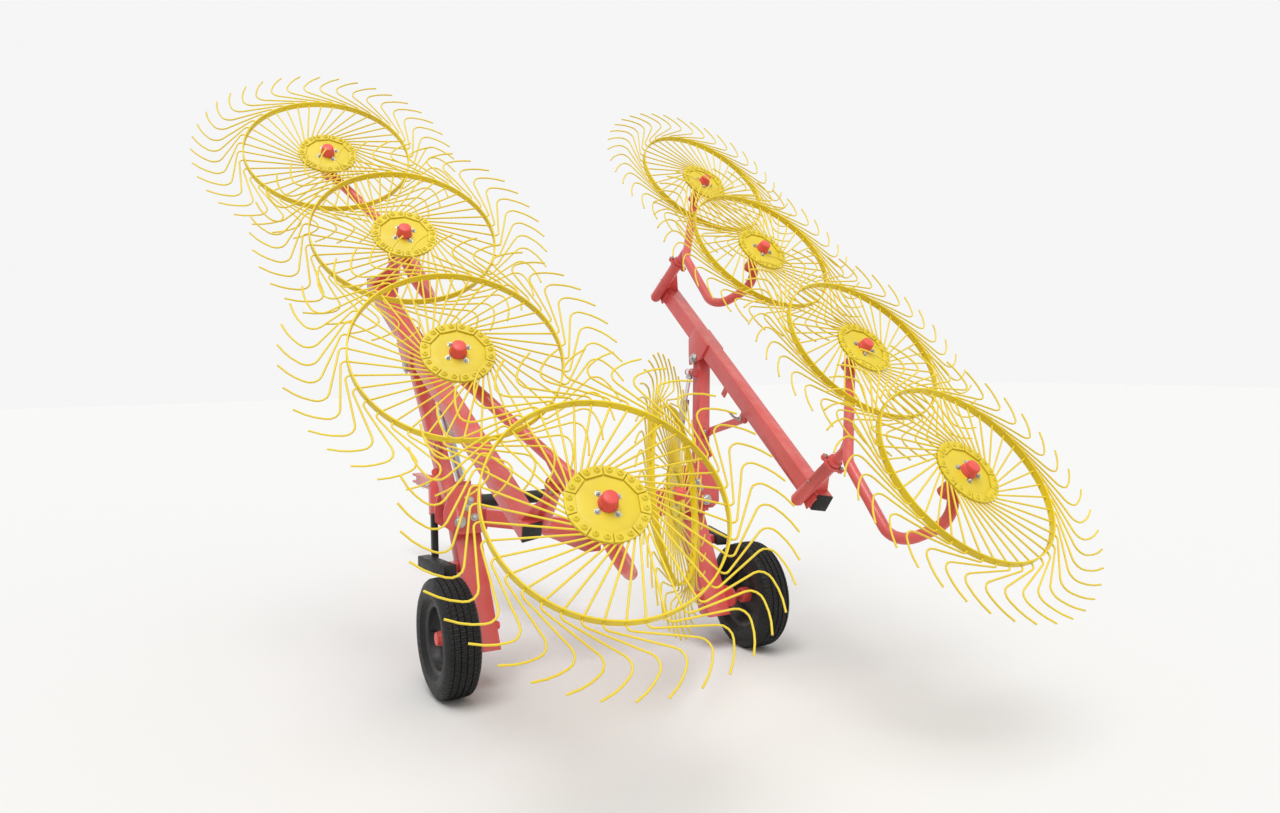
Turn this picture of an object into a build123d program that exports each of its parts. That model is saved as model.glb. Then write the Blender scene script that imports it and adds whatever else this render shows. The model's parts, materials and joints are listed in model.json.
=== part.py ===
from build123d import *
import os
from math import atan2, cos, degrees, hypot, radians, sin, sqrt

os.makedirs("parts", exist_ok=True)

# World: X to the machine's right, Y forward, Z up, in millimetres, with the origin on the
# ground at the middle of the machine's length.

# Road wheels
tyre_radius = 300.0
tyre_width = 185.0
tyre_round = 30.0
rim_radius = 178.0
rim_width = 130.0
track_half = 893.0
axle_y = -834.0
axle_radius = 20.0

# Hinges of the folding arms, with the brackets that hold them
hinge_inset = 145.0
hinge_x = track_half - hinge_inset
hinge_y = -537.0
hinge_z = 833.0
hinge_pin_radius = 20.0
bracket_thick = 12.0
bracket_rear = -75.0
bracket_front = 95.0
bracket_inside = 147.0
bracket_below = 50.0
bracket_shoulder = 60.0
bracket_top = 190.0
foot_edge = 118.0
outer_edge = 85.0

# Cross beam and tongue
tongue_width = 90.0
tongue_z = 650.0
tongue_front_y = 2896.0
beam_width = 90.0
beam_y = -594.0
beam_flat = 60.0
beam_end_z = 845.0
beam_end_inset = 133.0
beam_middle_z = tongue_z + (tongue_width + beam_width) / 2
hitch_length = 140.0
hitch_root = 60.0
hitch_gap = 40.0
hitch_plate = 20.0
hitch_width = 78.0
hitch_hole_radius = 13.0
hitch_hole_set = 40.0

# Legs from the brackets down to the stub axles
leg_width = 140.0
leg_depth = 112.0
leg_inset = 58.0
leg_x = hinge_x - leg_inset
leg_top_y = -487.0
leg_head_thick = 15.0
leg_foot_ahead = 46.0
leg_foot_below = 100.0
axle_plate_radius = 55.0
axle_plate_thick = 15.0

# Jack on the tongue's left side
jack_y = 2260.0
jack_leg_width = 50.0
jack_wall = 8.0
jack_sleeve_length = 320.0
jack_sleeve_z = 590.0
jack_drop = 30.0
jack_foot_length = 190.0
jack_foot_width = 140.0
jack_foot_thick = 10.0
jack_foot_rim = 35.0

# Gear stowed on the frame: a tool tube across the tongue and a wheel chock on each leg
tube_radius = 42.5
tube_length = 480.0
tube_y = 660.0
tube_seat = 10.0
tube_seat_length = 60.0
chock_stand = 55.0
chock_turn = 11.0
chock_width = 72.0
chock_length = 305.0
chock_rear_height = 58.0
chock_front_height = 68.0
chock_y = -510.0
chock_clearance = 10.0
chock_bracket_height = 50.0
chock_bracket_length = 70.0
chock_bar_width = 32.0
chock_bar_set = 82.0
chock_bar_rise = 27.0

# Folding arms: the lift post swings about the hinge and clamps the boom at its outer end
fold_angle = 80.5
boom_spread = 32.0
post_reach = 832.0
post_forward = 194.0
post_width = 75.0
post_root_radius = 42.0
root_gap = 3.0
fork_sleeve_radius = 32.0
fork_bolt_radius = 15.0
fork_head_radius = 24.0
fork_head_height = 12.0
boom_width = 90.0
boom_tail = 55.0
pivot_pitch = 2125.0
bolt_along = 1457.0
bolt_inside = 97.0
cap_thick = 12.0
clamp_plate_thick = 12.0
clamp_back = 79.0
clamp_ahead = 143.0
clamp_shoulder = (-70.0, -40.0)
clamp_nose = (18.0, 59.0)
clamp_slope = (79.0, 8.0)
spare_lug_along = 1090.0
spare_lug_width = 40.0
spare_lug_reach = 75.0

# Lock strut between post and boom
strut_post_end = (395.0, 12.0)
strut_boom_end = (815.0, 100.0)
strut_width = 44.0
strut_thick = 10.0
strut_pin_radius = 8.0
strut_head_radius = 12.0
strut_head_height = 5.0
strut_lug_radius = 23.0

# Fold cylinders
cylinder_y = 171.0
cylinder_foot = (-90.0, 160.0)
cylinder_head = (743.0, 82.0)
barrel_radius = 24.0
barrel_start = 30.0
barrel_length = 430.0
barrel_floor = 70.0
rod_radius = 13.0
rod_start = 80.0
eye_radius = 22.0
eye_width = 30.0
cylinder_pin_radius = 10.0
pin_head = 8.0
pin_head_radius = 16.0
lug_gap = 2.0
lug_thick = 10.0

# Pivot tubes on the boom's ends and the rockers in them
pivot_tube_radius = 34.0
pivot_shaft_radius = 25.0
pivot_inner_y = 52.0
pivot_outer_y = -270.0
shaft_overhang = 15.0
collar_gap = 3.0
collar_length = 20.0
collar_radius = 36.0
saddle_thick = 8.0
saddle_length = 110.0
flange_radius = 44.0
flange_thick = 16.0
flange_ear_pitch = 96.0
flange_ear_width = 34.0
flange_ear_tilt = 45.0
web_thick = 10.0
web_reach = 195.0
web_drop = 38.0
wheel_toe = 17.7
rocker_float = 1.5
rocker_radius = 26.0
rear_hub = (-449.0, -856.0, -40.0)
front_hub = (582.0, -509.0, -150.0)
rear_elbow = (-587.0, -470.0, 110.0)
rear_turn_x = -597.0
rear_turn_z = -50.0
knee_past = 95.0
brace_along = 125.0
brace_thick = 10.0
knee_bend = 150.0
rear_bend = 130.0
hub_root_radius = 32.0
hub_root_length = 85.0
hub_root_gap = 2.0
stub_radius = 15.0
stub_length = 60.0

# Kicker wheel and its arm
kicker_place = (104.0, -1374.0, 1001.0)
kicker_heading = 42.0
kicker_raised = 9.0
kicker_behind = 40.0
kicker_tube_radius = 30.0
kicker_tube_length = 120.0
kicker_pin_radius = 15.0
kicker_lug_radius = 35.0
kicker_lug_thick = 12.0
kicker_side_gap = 1.0
kicker_setback = 260.0
kicker_bend = 110.0

# Rake wheels: each tine leaves the disc, crosses the hoop, turns back and ends in a hook
ring_radius = 440.0
ring_thick = 6.0
ring_width = 28.0
tine_count = 40
tine_width = 7.0
tine_root = (122.0, -80.0)
tine_shoulder = (455.0, 4.0)
tine_heel = (510.0, -258.0)
tine_tip = (674.0, -206.0)
disc_radius = 155.0
disc_thick = 10.0
clamp_ring_thick = 8.0
clamp_ring_inner = 118.0
clamp_ring_sides = 10
hub_radius = 38.0
hub_back = 70.0
cap_height = 55.0
cap_step = 3.0
cap_taper = 8.0

running_gap = 0.05
weld_sink = 3.0


def save(shape, name):
    shape.label = name
    export_step(shape, f"parts/{name}.step")


def placed(shape, place):
    with BuildPart() as out:
        with Locations(place):
            add(shape)
    return out.part


def mirrored(shape):
    with BuildPart() as out:
        mirror(shape, about=Plane.YZ)
    return out.part


def save_pair(shape, name):
    """Right-hand piece and its mirror image on the left."""
    save(shape, f"{name}_right")
    save(mirrored(shape), f"{name}_left")


def bent_tube(points, radius, bends):
    """Round bar along straight runs, with one bend radius for each corner."""
    with BuildPart() as tube:
        with BuildLine() as path:
            FilletPolyline(*points, radius=bends)
        with BuildSketch(Plane(path.line @ 0, z_dir=path.line % 0)):
            Circle(radius)
        sweep(path=path.line)
    return tube.part


# Places: the arm's own frame has X outward along the lowered arm and Z up when lowered.
# The boom's frame has X along the boom, +Y to the inside of the V and -Y to the wheels.
# A rocker's frame stands on the boom at its pivot, with -Y along the wheel axles.
arm_place = Location((hinge_x, hinge_y, hinge_z), (0, -fold_angle, 0))
bolt_in_arm = Location((post_reach, post_forward, 0), (0, 0, 90 - boom_spread))
boom_in_arm = bolt_in_arm * Location((-bolt_along, -bolt_inside, 0))
boom_place = arm_place * boom_in_arm
pivot_above = boom_width / 2 + saddle_thick + pivot_tube_radius - weld_sink
pivot_places = [Location((x, 0, 0), (0, 0, -wheel_toe)) for x in (0, pivot_pitch)]

# One rake wheel about Z with its cap side at +Z
with BuildSketch() as tine:
    with BuildLine():
        Polyline(tine_root, tine_shoulder, tine_heel, tine_tip)
    trace(line_width=tine_width)
with BuildPart() as rake_wheel:
    with BuildSketch(Plane.XY.offset(-tine_width / 2)):
        with PolarLocations(0, tine_count):
            add(tine.sketch)
    extrude(amount=tine_width)
    with BuildSketch(Plane.XY.offset(-ring_width / 2)):
        Circle(ring_radius + ring_thick / 2)
        Circle(ring_radius - ring_thick / 2, mode=Mode.SUBTRACT)
    extrude(amount=ring_width)
    with BuildSketch(Plane.XY.offset(-disc_thick / 2)):
        Circle(disc_radius)
        Circle(hub_radius, mode=Mode.SUBTRACT)
    extrude(amount=disc_thick)
    with BuildSketch(Plane.XY.offset(disc_thick / 2)):
        Circle(disc_radius)
        RegularPolygon(clamp_ring_inner, clamp_ring_sides, mode=Mode.SUBTRACT)
    extrude(amount=clamp_ring_thick)

# Its bearing housing with the tapered cap, bored from behind for the stub axle
with BuildPart() as wheel_hub:
    with BuildSketch(Plane.XY.offset(-hub_back)):
        Circle(hub_radius)
    extrude(amount=hub_back + disc_thick)
    with BuildSketch(Plane.XY.offset(disc_thick)):
        Circle(hub_radius - cap_step)
    extrude(amount=cap_height - disc_thick, taper=cap_taper)
    with BuildSketch(Plane.XY.offset(-hub_back)):
        Circle(stub_radius + running_gap)
    extrude(amount=hub_back, mode=Mode.SUBTRACT)

# Cross frame: a beam that dips to the middle, with a hinge bracket at each end
beam_rear_y = beam_y - beam_width / 2
beam_end_x = hinge_x - beam_end_inset
half = beam_width / 2
kicker_pivot = (0, beam_rear_y - kicker_behind, beam_middle_z)
with BuildPart() as cross_frame:
    with BuildSketch(Plane.XZ.offset(-beam_y - half)):
        with BuildLine():
            Polyline(
                (beam_end_x, beam_end_z - half),
                (beam_flat, beam_middle_z - half),
                (-beam_flat, beam_middle_z - half),
                (-beam_end_x, beam_end_z - half),
                (-beam_end_x, beam_end_z + half),
                (-beam_flat, beam_middle_z + half),
                (beam_flat, beam_middle_z + half),
                (beam_end_x, beam_end_z + half),
                close=True,
            )
        make_face()
    extrude(amount=beam_width)
    for y in (bracket_rear, bracket_front):
        with BuildSketch(Plane.XZ.offset(-hinge_y - y - bracket_thick)) as plates:
            with BuildLine(Location((hinge_x, hinge_z))):
                Polyline(
                    (-bracket_inside, -bracket_below),
                    (outer_edge / 2, -bracket_below),
                    (outer_edge, -bracket_below / 3),
                    (outer_edge, bracket_shoulder),
                    (outer_edge / 2, bracket_top),
                    (-foot_edge, bracket_top),
                    (-foot_edge, bracket_shoulder),
                    (-bracket_inside, bracket_shoulder),
                    close=True,
                )
            make_face()
            mirror(about=Plane.YZ)
        extrude(amount=bracket_thick)
    bracket_depth = bracket_front - bracket_rear + bracket_thick
    for side in (1, -1):
        with BuildSketch(Plane.YZ.offset(side * (hinge_x - bracket_inside))):
            with Locations(
                (
                    hinge_y + (bracket_front + bracket_rear + bracket_thick) / 2,
                    hinge_z + (bracket_shoulder - bracket_below) / 2,
                )
            ):
                Rectangle(bracket_depth, bracket_shoulder + bracket_below)
        extrude(amount=side * bracket_thick)
    with BuildSketch(Plane.XZ.offset(-hinge_y - bracket_front - 2 * bracket_thick)):
        with Locations((hinge_x, hinge_z), (-hinge_x, hinge_z)):
            Circle(hinge_pin_radius)
    extrude(amount=bracket_depth + 2 * bracket_thick)
    foot_x = hinge_x + cylinder_foot[0]
    foot_z = hinge_z + cylinder_foot[1]
    boss_length = cylinder_y - eye_width / 2 - lug_gap - bracket_front - bracket_thick
    with BuildSketch(Plane.XZ.offset(-hinge_y - bracket_front - bracket_thick)):
        with Locations((foot_x, foot_z), (-foot_x, foot_z)):
            Circle(eye_radius)
    extrude(amount=-boss_length)
    with BuildSketch(Plane.XZ.offset(-hinge_y - cylinder_y - eye_width / 2 - lug_gap)):
        with Locations((foot_x, foot_z), (-foot_x, foot_z)):
            Circle(cylinder_pin_radius)
    extrude(amount=eye_width + 3 * lug_gap)
    with BuildSketch(Plane.XZ.offset(-hinge_y - cylinder_y - eye_width / 2 - lug_gap)):
        with Locations((foot_x, foot_z), (-foot_x, foot_z)):
            Circle(pin_head_radius)
    extrude(amount=-pin_head)
    lug_side = kicker_tube_length / 2 + kicker_side_gap
    for x in (-lug_side - kicker_lug_thick, lug_side):
        with BuildSketch(Plane.YZ.offset(x)):
            with Locations(kicker_pivot[1:]):
                Circle(kicker_lug_radius)
            with Locations((beam_rear_y - kicker_behind / 2 + weld_sink, beam_middle_z)):
                Rectangle(kicker_behind + 2 * weld_sink, 2 * kicker_lug_radius)
        extrude(amount=kicker_lug_thick)
    with BuildSketch(Plane.YZ.offset(-lug_side - 2 * kicker_lug_thick)):
        with Locations(kicker_pivot[1:]):
            Circle(kicker_pin_radius)
    extrude(amount=2 * lug_side + 4 * kicker_lug_thick)
save(cross_frame.part, "cross_frame")

# Legs trailing down from the brackets, each with its stub axle and the chock's bracket
leg_head_z = hinge_z - bracket_below
leg_foot = (axle_y + leg_foot_ahead, tyre_radius - leg_foot_below)
leg_slope = (leg_top_y - leg_foot[0]) / (leg_head_z - leg_foot[1])
leg_at_axle = leg_foot[0] + leg_foot_below * leg_slope
leg_outer_x = leg_x + leg_width / 2
chock_back = chock_length / 2 * cos(radians(chock_turn)) + chock_width * sin(radians(chock_turn))
chock_z = tyre_radius + sqrt((tyre_radius + chock_clearance) ** 2 - (chock_y - chock_back - axle_y) ** 2)
chock_place = Location((leg_outer_x + chock_stand, chock_y, chock_z), (0, 0, -chock_turn))
leg_at_chock = leg_foot[0] + (chock_z + chock_rear_height / 2 - leg_foot[1]) * leg_slope
with BuildPart() as leg:
    with BuildSketch(Plane.YZ.offset(leg_x - leg_width / 2)):
        with BuildLine():
            Polyline(
                (leg_foot[0] - leg_depth / 2, leg_foot[1]),
                (leg_foot[0] + leg_depth / 2, leg_foot[1]),
                (leg_top_y + leg_depth / 2, leg_head_z),
                (leg_top_y - leg_depth / 2, leg_head_z),
                close=True,
            )
        make_face()
    extrude(amount=leg_width)
    with BuildSketch(Plane.XY.offset(leg_head_z - leg_head_thick)):
        with Locations((leg_x, hinge_y + (bracket_front + bracket_rear + bracket_thick) / 2)):
            Rectangle(leg_width, bracket_depth)
    extrude(amount=leg_head_thick)
    with BuildSketch(Plane.YZ.offset(leg_outer_x - weld_sink)):
        with Locations(((axle_y + leg_at_axle) / 2, tyre_radius)):
            SlotCenterToCenter(leg_at_axle - axle_y, 2 * axle_plate_radius)
    extrude(amount=axle_plate_thick)
    with BuildSketch(Plane.YZ.offset(leg_outer_x)):
        with Locations((axle_y, tyre_radius)):
            Circle(axle_radius)
    extrude(amount=track_half - leg_outer_x)
    with BuildSketch(Plane(chock_place * Location((0, 0, 0), (0, -90, 0)))):
        with Locations((chock_rear_height / 2, leg_at_chock - chock_y)):
            Rectangle(chock_bracket_height, chock_bracket_length)
    extrude(amount=chock_stand + weld_sink)
save_pair(leg.part, "leg")

# Road wheels: tyre, and rim with its hub
with BuildPart() as rim:
    with BuildSketch(Plane.YZ.offset(track_half - rim_width / 2)):
        with Locations((axle_y, tyre_radius)):
            Circle(rim_radius)
    extrude(amount=rim_width)
    with BuildSketch(Plane.YZ.offset(track_half - rim_width / 2)):
        with Locations((axle_y, tyre_radius)):
            Circle(axle_radius + running_gap)
    extrude(amount=rim_width / 2, mode=Mode.SUBTRACT)
save_pair(rim.part, "rim")
with BuildPart() as tyre:
    with BuildSketch(Plane.XY) as profile:
        with Locations((track_half, (tyre_radius + rim_radius) / 2)):
            RectangleRounded(tyre_width, tyre_radius - rim_radius, tyre_round)
    revolve(axis=Axis.X)
save_pair(placed(tyre.part, Location((0, axle_y, tyre_radius))), "tyre")

# Tongue from under the middle of the beam to the hitch clevis, with the jack's sleeve
jack_hole = jack_leg_width + 2 * running_gap
jack_sleeve_width = jack_leg_width + 2 * jack_wall
jack_x = weld_sink - (tongue_width + jack_sleeve_width) / 2
with BuildPart() as tongue:
    with BuildSketch(Plane.XZ.offset(-beam_rear_y)):
        with Locations((0, tongue_z)):
            Rectangle(tongue_width, tongue_width)
    extrude(amount=beam_rear_y - tongue_front_y)
    for z in (hitch_gap / 2, -hitch_gap / 2 - hitch_plate):
        with BuildSketch(Plane.XY.offset(tongue_z + z)):
            with Locations((0, tongue_front_y + (hitch_length - hitch_root) / 2)):
                Rectangle(hitch_width, hitch_length + hitch_root)
            with Locations((0, tongue_front_y + hitch_length - hitch_hole_set)):
                Circle(hitch_hole_radius, mode=Mode.SUBTRACT)
        extrude(amount=hitch_plate)
    with BuildSketch(Plane.XY.offset(jack_sleeve_z - jack_sleeve_length / 2)):
        with Locations((jack_x, jack_y)):
            Rectangle(jack_sleeve_width, jack_sleeve_width)
            Rectangle(jack_hole, jack_hole, mode=Mode.SUBTRACT)
    extrude(amount=jack_sleeve_length)
    with BuildSketch(Plane.XY.offset(tongue_z + tongue_width / 2)):
        with Locations((0, tube_y)):
            Rectangle(tongue_width, tube_seat_length)
    extrude(amount=tube_seat)
save(tongue.part, "tongue")
with BuildPart() as jack_leg:
    with BuildSketch():
        with Locations((jack_x, jack_y)):
            Rectangle(jack_foot_width, jack_foot_length)
    extrude(amount=jack_foot_thick)
    with BuildSketch():
        for side in (1, -1):
            with Locations((jack_x + side * (jack_foot_width - jack_foot_thick) / 2, jack_y)):
                Rectangle(jack_foot_thick, jack_foot_length)
    extrude(amount=jack_foot_rim)
    with BuildSketch(Plane.XY.offset(jack_foot_thick)):
        with Locations((jack_x, jack_y)):
            Rectangle(jack_leg_width, jack_leg_width)
    extrude(amount=jack_sleeve_z + jack_sleeve_length / 2 - jack_drop - jack_foot_thick)
save(jack_leg.part, "jack_leg")

# Stowed gear: tool tube on its seat, and a wedge chock with its holding bar on each leg
bar_rear_y = hinge_y + bracket_front + bracket_thick
with BuildPart() as chock:
    with BuildSketch(Plane(chock_place) * Location(Plane.YZ)):
        with BuildLine():
            Polyline(
                (-chock_length / 2, 0),
                (chock_length / 2, 0),
                (chock_length / 2, chock_front_height),
                (-chock_length / 2, chock_rear_height),
                close=True,
            )
        make_face()
    extrude(amount=chock_width)
    with BuildSketch(Plane.XY.offset(chock_z + chock_rear_height / 2)):
        with Locations((hinge_x + chock_bar_set, bar_rear_y + chock_bar_width / 2)):
            Rectangle(chock_bar_width, chock_bar_width)
    extrude(amount=hinge_z + chock_bar_rise - chock_z - chock_rear_height / 2)
with BuildPart() as stowed_gear:
    add(chock.part)
    mirror(chock.part, about=Plane.YZ)
    with BuildSketch(Plane.YZ.offset(-tube_length / 2)):
        with Locations((tube_y, tongue_z + tongue_width / 2 + tube_seat + tube_radius)):
            Circle(tube_radius)
    extrude(amount=tube_length)
save(stowed_gear.part, "stowed_gear")

# Lift post, in the arm's frame, with the cylinder's lugs on top and the strut's beside it
post_angle = degrees(atan2(post_forward, post_reach))
post_length = hypot(post_forward, post_reach)
strut_lug_levels = (strut_thick / 2 + lug_gap, -strut_thick / 2 - lug_gap - lug_thick)
with BuildPart() as post_bar:
    with BuildSketch(Plane.YZ):
        Rectangle(post_width, post_width)
    extrude(amount=post_length)
with BuildPart() as post:
    with Locations(Location((0, 0, 0), (0, 0, post_angle))):
        add(post_bar.part)
    with BuildSketch(Plane.XZ.offset(root_gap - bracket_front)):
        Circle(post_root_radius)
    extrude(amount=bracket_front - bracket_rear - bracket_thick - 2 * root_gap)
    with BuildSketch(Plane.XZ.offset(-bracket_front)):
        Circle(hinge_pin_radius + running_gap)
    extrude(amount=bracket_depth, mode=Mode.SUBTRACT)
    with BuildSketch(Plane.XY.offset(-boom_width / 2)):
        with Locations((post_reach, post_forward)):
            Circle(fork_sleeve_radius)
    extrude(amount=boom_width)
    with BuildSketch(Plane.XY.offset(-boom_width / 2)):
        with Locations((post_reach, post_forward)):
            Circle(fork_bolt_radius + running_gap)
    extrude(amount=boom_width, mode=Mode.SUBTRACT)
    lug_foot_z = post_width / 2 - weld_sink
    for side in (1, -1):
        lug_inner = eye_width / 2 + lug_gap
        with BuildSketch(Plane.XZ.offset(-cylinder_y - side * lug_inner)):
            with Locations(cylinder_head):
                Circle(eye_radius)
            with Locations((cylinder_head[0], (cylinder_head[1] + lug_foot_z) / 2)):
                Rectangle(2 * eye_radius, cylinder_head[1] - lug_foot_z)
        extrude(amount=-side * lug_thick)
        with BuildSketch(Plane.XZ.offset(-cylinder_y - side * (lug_inner + lug_thick))):
            with Locations(cylinder_head):
                Circle(cylinder_pin_radius)
        extrude(amount=-side * pin_head)
    post_side_y = strut_post_end[0] * post_forward / post_reach
    for z in strut_lug_levels:
        with BuildSketch(Plane.XY.offset(z)):
            with Locations(strut_post_end):
                Circle(strut_lug_radius)
            with Locations((strut_post_end[0], (strut_post_end[1] + post_side_y) / 2)):
                Rectangle(2 * strut_lug_radius, post_side_y - strut_post_end[1])
            with Locations(strut_post_end):
                Circle(strut_pin_radius + running_gap, mode=Mode.SUBTRACT)
        extrude(amount=lug_thick)
save_pair(placed(post.part, arm_place), "lift_post")

# Pivot tube in a rocker's frame: saddle on the boom, clamp flange and the web below
with BuildPart() as pivot_tube:
    with BuildSketch(Plane.XZ.offset(-pivot_inner_y)):
        with Locations((0, pivot_above)):
            Circle(pivot_tube_radius)
    extrude(amount=pivot_inner_y - pivot_outer_y)
    with BuildSketch(Plane.XZ.offset(-pivot_outer_y - flange_thick)):
        with Locations((0, pivot_above)):
            Circle(flange_radius)
        with Locations(Location((0, pivot_above), flange_ear_tilt)):
            SlotCenterToCenter(flange_ear_pitch, flange_ear_width)
    extrude(amount=flange_thick)
    with BuildSketch(Plane.YZ.offset(-web_thick / 2)):
        with BuildLine():
            Polyline(
                (weld_sink - boom_width / 2, pivot_above - pivot_tube_radius + weld_sink),
                (-web_reach, pivot_above - pivot_tube_radius + weld_sink),
                (weld_sink - boom_width / 2, -web_drop),
                close=True,
            )
        make_face()
    extrude(amount=web_thick)
    with BuildSketch(Plane.XZ.offset(-pivot_inner_y)):
        with Locations((0, pivot_above)):
            Circle(pivot_shaft_radius + running_gap)
    extrude(amount=pivot_inner_y - pivot_outer_y, mode=Mode.SUBTRACT)

# Boom with its pivot tubes, the plates that clamp the post, and the strut's lugs
clamp_edge = -bolt_inside - boom_width / 2
with BuildPart() as boom:
    with BuildSketch(Plane.YZ.offset(-boom_tail)):
        Rectangle(boom_width, boom_width)
    extrude(amount=pivot_pitch + 2 * boom_tail)
    for z in (-boom_width / 2 - clamp_plate_thick, boom_width / 2):
        with BuildSketch(Plane((bolt_along, bolt_inside, z))):
            with BuildLine():
                Polyline(
                    (-clamp_back, clamp_edge),
                    clamp_shoulder,
                    clamp_nose,
                    clamp_slope,
                    (clamp_ahead, clamp_edge + boom_width),
                    (clamp_ahead, clamp_edge),
                    close=True,
                )
            make_face()
        extrude(amount=clamp_plate_thick)
    with BuildSketch(Plane.XY.offset(-boom_width / 2 - clamp_plate_thick)):
        with Locations((bolt_along, bolt_inside)):
            Circle(fork_bolt_radius)
    extrude(amount=boom_width + 2 * clamp_plate_thick)
    for z in (boom_width / 2 + clamp_plate_thick, -boom_width / 2 - clamp_plate_thick - fork_head_height):
        with BuildSketch(Plane.XY.offset(z)):
            with Locations((bolt_along, bolt_inside)):
                RegularPolygon(fork_head_radius, 6)
        extrude(amount=fork_head_height)
    for z in strut_lug_levels:
        with BuildSketch(Plane.XY.offset(z)):
            with Locations(strut_boom_end):
                Circle(strut_lug_radius)
            with Locations((strut_boom_end[0], strut_boom_end[1] / 2)):
                Rectangle(2 * strut_lug_radius, strut_boom_end[1])
            with Locations(strut_boom_end):
                Circle(strut_pin_radius + running_gap, mode=Mode.SUBTRACT)
        extrude(amount=lug_thick)
    with BuildSketch(Plane.XY.offset(-lug_thick / 2)):
        with Locations((spare_lug_along, (boom_width + spare_lug_reach) / 2)):
            Rectangle(spare_lug_width, spare_lug_reach + weld_sink)
    extrude(amount=lug_thick)
    for place in pivot_places:
        with BuildSketch(Plane(place) * Location((0, 0, boom_width / 2))):
            Rectangle(saddle_length, boom_width)
        extrude(amount=saddle_thick)
        with Locations(place):
            add(pivot_tube.part)
save_pair(placed(boom.part, boom_place), "boom")
with BuildPart() as boom_caps:
    for x in (-boom_tail - cap_thick, pivot_pitch + boom_tail):
        with BuildSketch(Plane.YZ.offset(x)):
            Rectangle(boom_width, boom_width)
        extrude(amount=cap_thick)
save_pair(placed(boom_caps.part, boom_place), "boom_caps")

# Lock strut: a flat bar with a headed pin through the lugs at each end
strut_far = (boom_in_arm * Location((*strut_boom_end, 0))).position
strut_run = strut_far - Vector(*strut_post_end, 0)
strut_middle = Vector(*strut_post_end, 0) + strut_run / 2
strut_turn = degrees(atan2(strut_run.Y, strut_run.X))
strut_pin_half = strut_thick / 2 + lug_gap + lug_thick
with BuildPart() as lock_strut:
    with BuildSketch(Plane.XY.offset(-strut_thick / 2)):
        with Locations(Location((strut_middle.X, strut_middle.Y), strut_turn)):
            SlotCenterToCenter(strut_run.length, strut_width)
    extrude(amount=strut_thick)
    for end in (Vector(*strut_post_end, 0), strut_far):
        with BuildSketch(Plane.XY.offset(-strut_pin_half)):
            with Locations((end.X, end.Y)):
                Circle(strut_pin_radius)
        extrude(amount=2 * strut_pin_half)
        for z in (strut_pin_half, -strut_pin_half - strut_head_height):
            with BuildSketch(Plane.XY.offset(z)):
                with Locations((end.X, end.Y)):
                    Circle(strut_head_radius)
            extrude(amount=strut_head_height)
save_pair(placed(lock_strut.part, arm_place), "lock_strut")

# Rocker: shaft in the pivot tube, one bent tube to both wheels, hub roots and stub axles.
# The front wheel's run is straight and goes on a little past the shaft, with a brace in
# the corner that they make, and the rear one ends in a level U-bend.
root_set = hub_back + hub_root_gap + hub_root_length / 2
crossing = Vector(0, front_hub[1] + root_set, pivot_above)
front_end = Vector(front_hub[0], front_hub[1] + root_set, front_hub[2])
front_run = (front_end - crossing).normalized()
knee = crossing - front_run * knee_past
rear_end = (rear_hub[0], rear_hub[1] + root_set, rear_hub[2])
rear_turn = (rear_turn_x, rear_hub[1] + root_set, rear_turn_z)
with BuildPart() as rocker:
    with BuildSketch(Plane.XZ.offset(-pivot_inner_y - shaft_overhang)):
        with Locations((0, pivot_above)):
            Circle(pivot_shaft_radius)
    extrude(amount=pivot_inner_y + shaft_overhang - crossing.Y)
    with BuildSketch(Plane.XZ.offset(-pivot_outer_y + collar_gap)):
        with Locations((0, pivot_above)):
            Circle(collar_radius)
    extrude(amount=collar_length)
    with BuildSketch(Plane(crossing, x_dir=front_run, z_dir=front_run.cross(Vector(0, 1, 0)))):
        with BuildLine():
            Polyline(
                (0, 0),
                (0, pivot_outer_y - collar_gap - collar_length - crossing.Y),
                (brace_along, 0),
                close=True,
            )
        make_face()
    extrude(amount=brace_thick / 2, both=True)
    add(
        bent_tube(
            [front_end, knee, rear_elbow, rear_turn, rear_end],
            rocker_radius,
            [knee_bend, rear_bend, rear_bend],
        )
    )
    for hub in (rear_hub, front_hub):
        with BuildSketch(Plane.XZ.offset(-hub[1] - hub_back - hub_root_gap - hub_root_length)):
            with Locations((hub[0], hub[2])):
                Circle(hub_root_radius)
        extrude(amount=hub_root_length)
        with BuildSketch(Plane.XZ.offset(-hub[1] - hub_back - hub_root_gap)):
            with Locations((hub[0], hub[2])):
                Circle(stub_radius)
        extrude(amount=stub_length)
rocker_places = {}
for end, pivot, tilt in zip(("rear", "front"), pivot_places, (rocker_float, -rocker_float)):
    turned = Location((0, 0, pivot_above), (0, tilt, 0)) * Location((0, 0, -pivot_above))
    rocker_places[end] = boom_place * pivot * turned
wheel_number = 0
for end, place in rocker_places.items():
    save_pair(placed(rocker.part, place), f"rocker_{end}")
    for hub in (rear_hub, front_hub):
        wheel_number += 1
        wheel_place = place * Location(Plane(hub, x_dir=(0, 0, 1), z_dir=(0, -1, 0)))
        save_pair(placed(rake_wheel.part, wheel_place), f"rake_wheel_{wheel_number}")
        save_pair(placed(wheel_hub.part, wheel_place), f"wheel_hub_{wheel_number}")

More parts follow.
